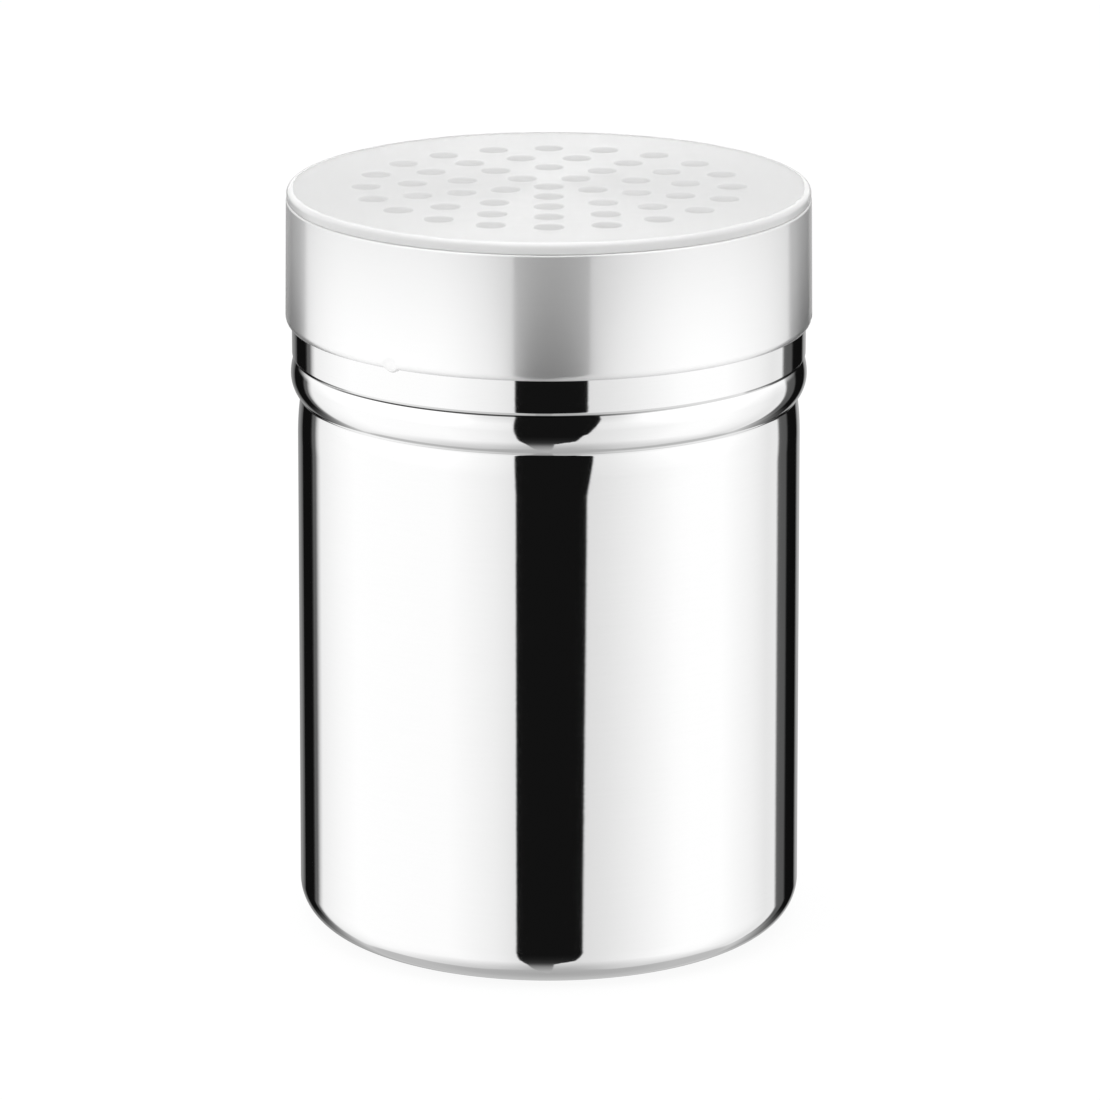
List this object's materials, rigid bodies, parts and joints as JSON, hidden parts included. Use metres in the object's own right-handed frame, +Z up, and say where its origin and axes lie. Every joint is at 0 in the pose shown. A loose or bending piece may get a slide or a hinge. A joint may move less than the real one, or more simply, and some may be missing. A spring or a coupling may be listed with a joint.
{
  "type": "spice shaker",
  "caption": "Round steel shaker for spice, salt or flour: drawn cup with a beaded neck, push-on perforated cap and translucent snap lid.",
  "frame": {"origin": "middle of the base, on the plane that the shaker stands on", "axes": "+Z up along the shaker's axis, -Y towards the front"},
  "size_m": [0.0694, 0.0694, 0.1],
  "materials": {
    "polished_steel": "mirror-polished stainless steel",
    "satin_steel": "satin stainless steel with a fine turned grain",
    "milky_plastic": "thin translucent milky polyethylene"
  },
  "bodies": {
    "cup": {"shaker_body": "polished_steel"},
    "cap": {"perforated_cap": "satin_steel"},
    "lid": {"snap_lid": "milky_plastic"}
  },
  "joints": [
    {"name": "cap_lift", "type": "slide", "parent": "cup", "child": "cap", "axis": [0, 0, 1], "range_m": [0, 0.035]},
    {"name": "lid_lift", "type": "slide", "parent": "cap", "child": "lid", "axis": [0, 0, 1], "range_m": [0, 0.02]}
  ]
}
